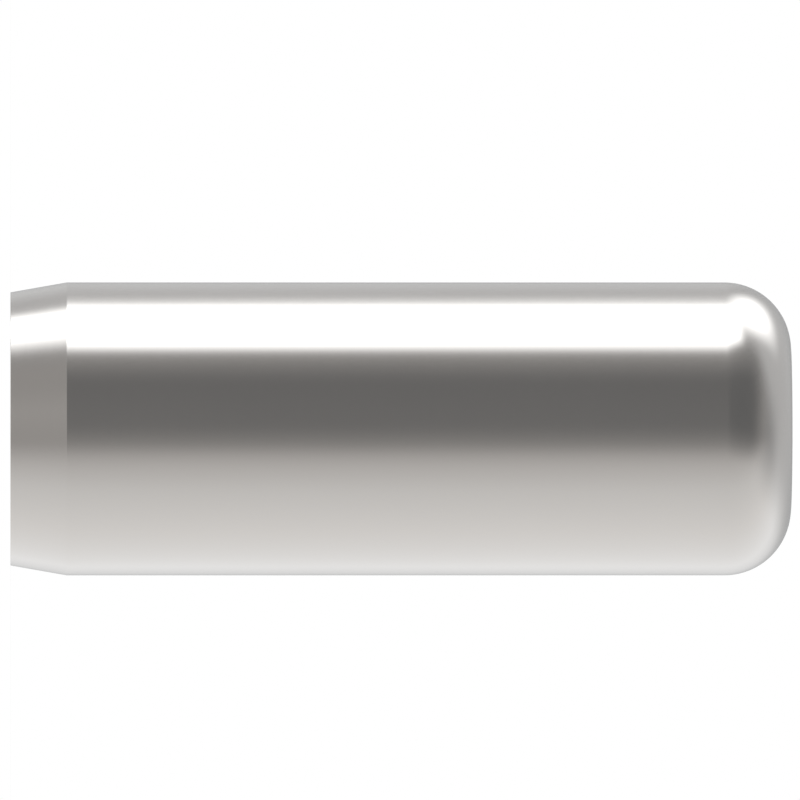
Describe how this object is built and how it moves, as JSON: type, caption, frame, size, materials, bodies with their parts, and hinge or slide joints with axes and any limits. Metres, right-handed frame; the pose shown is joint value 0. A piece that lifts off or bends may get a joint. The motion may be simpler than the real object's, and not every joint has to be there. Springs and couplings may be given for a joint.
{
  "type": "dowel pin",
  "caption": "Straight ground steel dowel pin with a shallow lead-in chamfer at one end and a large rounded corner at the other, pressed into reamed holes to line parts up.",
  "frame": {"origin": "centre of the flat at the chamfered end, which the pin stands on", "axes": "+Z runs along the pin's axis, from the chamfered end to the rounded end; X and Y are any two square directions, because the pin is round"},
  "size_m": [0.0048, 0.0048, 0.0127],
  "materials": {
    "ground_steel": "hardened steel, bright fine-ground all round, with lathe-turned and ground ends"
  },
  "bodies": {
    "root": {"dowel_pin": "ground_steel"}
  },
  "joints": []
}
